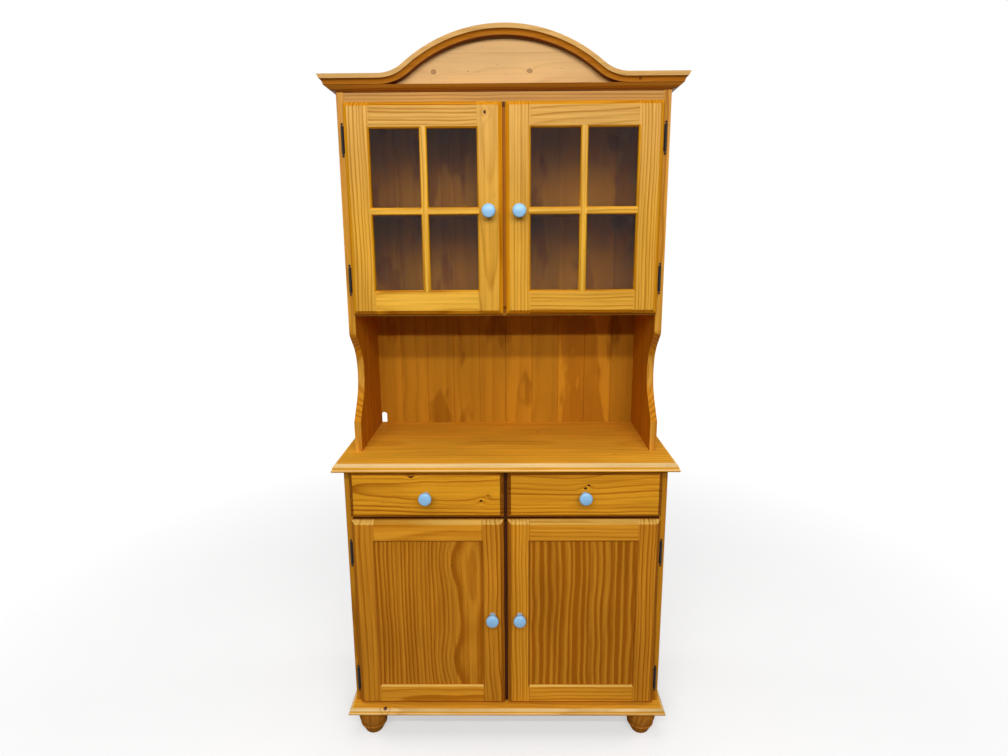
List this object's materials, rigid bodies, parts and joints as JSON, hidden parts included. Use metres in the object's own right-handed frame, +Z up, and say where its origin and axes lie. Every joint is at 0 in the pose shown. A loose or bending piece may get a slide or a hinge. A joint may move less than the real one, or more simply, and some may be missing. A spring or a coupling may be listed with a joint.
{
  "type": "china cabinet",
  "caption": "Pine dresser: a hutch with glazed doors under an arched cornice, an open niche with shaped sides, and a base with drawers and panelled doors on turned feet.",
  "frame": {"origin": "on the floor, midway across the width and midway through the overall depth", "axes": "+X to the viewer's right, +Y towards the wall, +Z up; the doors face -Y"},
  "size_m": [0.9, 0.42, 1.879],
  "materials": {
    "pine_carcass": "satin lacquered pine, honey coloured",
    "pine_crown": "satin lacquered pine, paler, grain along the moulding",
    "pine_door": "satin lacquered pine, grain upright",
    "pine_rail": "satin lacquered pine, grain level",
    "pine_inner": "satin lacquered pine, darker inside",
    "pine_foot": "turned pine, satin lacquer",
    "drawer_wood": "plain sanded pine",
    "panel_board": "thin pine-faced board",
    "glass": "clear sheet glass",
    "glaze": "pale blue gloss glaze",
    "hinge_iron": "semi-gloss black",
    "steel": "plain zinc-coated steel",
    "catch": "brown plastic"
  },
  "bodies": {
    "cabinet": {"base_side_left": "pine_carcass", "base_side_right": "pine_carcass", "hutch_side_left": "pine_carcass", "hutch_side_right": "pine_carcass", "base_centre_post": "pine_carcass", "hutch_centre_post": "pine_carcass", "worktop": "pine_carcass", "plinth_board": "pine_carcass", "drawer_rail": "pine_carcass", "hutch_top_rail": "pine_carcass", "hutch_bottom_board": "pine_carcass", "cornice_arch_moulding": "pine_crown", "cornice_bed_moulding": "pine_crown", "cornice_returns": "pine_crown", "pediment_panel": "pine_crown", "hutch_back_panel": "pine_inner", "hutch_shelf": "pine_inner", "base_shelf": "pine_inner", "hutch_top_board": "pine_inner", "drawer_partition": "pine_inner", "drawer_runners": "pine_inner", "base_back_panel": "panel_board", "bun_feet_front": "pine_foot", "bun_feet_rear": "pine_foot", "shelf_pins": "steel", "hinge_pins": "steel", "hinge_cabinet_leaves": "hinge_iron", "door_catches": "catch"},
    "hutch_door_left": {"hutch_door_left_stiles": "pine_door", "hutch_door_left_rails": "pine_rail", "hutch_door_left_glazing_bars": "pine_door", "hutch_door_left_glass": "glass", "hutch_door_left_knob": "glaze", "hutch_door_left_ironwork": "hinge_iron"},
    "hutch_door_right": {"hutch_door_right_stiles": "pine_door", "hutch_door_right_rails": "pine_rail", "hutch_door_right_glazing_bars": "pine_door", "hutch_door_right_glass": "glass", "hutch_door_right_knob": "glaze", "hutch_door_right_ironwork": "hinge_iron"},
    "base_door_left": {"base_door_left_stiles": "pine_door", "base_door_left_rails": "pine_rail", "base_door_left_panel": "pine_door", "base_door_left_knob": "glaze", "base_door_left_ironwork": "hinge_iron"},
    "base_door_right": {"base_door_right_stiles": "pine_door", "base_door_right_rails": "pine_rail", "base_door_right_panel": "pine_door", "base_door_right_knob": "glaze", "base_door_right_ironwork": "hinge_iron"},
    "drawer_left": {"drawer_left_front": "pine_rail", "drawer_left_box": "drawer_wood", "drawer_left_bottom": "panel_board", "drawer_left_knob": "glaze", "drawer_left_knob_screw": "steel"},
    "drawer_right": {"drawer_right_front": "pine_rail", "drawer_right_box": "drawer_wood", "drawer_right_bottom": "panel_board", "drawer_right_knob": "glaze", "drawer_right_knob_screw": "steel"}
  },
  "joints": [
    {"name": "hutch_door_left_swing", "type": "hinge", "parent": "cabinet", "child": "hutch_door_left", "pos_m": [-0.398, -0.0884, 1.4535], "axis": [0, 0, -1], "range_deg": [0, 135]},
    {"name": "hutch_door_right_swing", "type": "hinge", "parent": "cabinet", "child": "hutch_door_right", "pos_m": [0.398, -0.0884, 1.4535], "axis": [0, 0, 1], "range_deg": [0, 135]},
    {"name": "base_door_left_swing", "type": "hinge", "parent": "cabinet", "child": "base_door_left", "pos_m": [-0.4185, -0.1554, 0.3765], "axis": [0, 0, -1], "range_deg": [0, 135]},
    {"name": "base_door_right_swing", "type": "hinge", "parent": "cabinet", "child": "base_door_right", "pos_m": [0.4185, -0.1554, 0.3765], "axis": [0, 0, 1], "range_deg": [0, 135]},
    {"name": "drawer_left_slide", "type": "slide", "parent": "cabinet", "child": "drawer_left", "axis": [0, -1, 0], "range_m": [0, 0.26]},
    {"name": "drawer_right_slide", "type": "slide", "parent": "cabinet", "child": "drawer_right", "axis": [0, -1, 0], "range_m": [0, 0.26]}
  ]
}
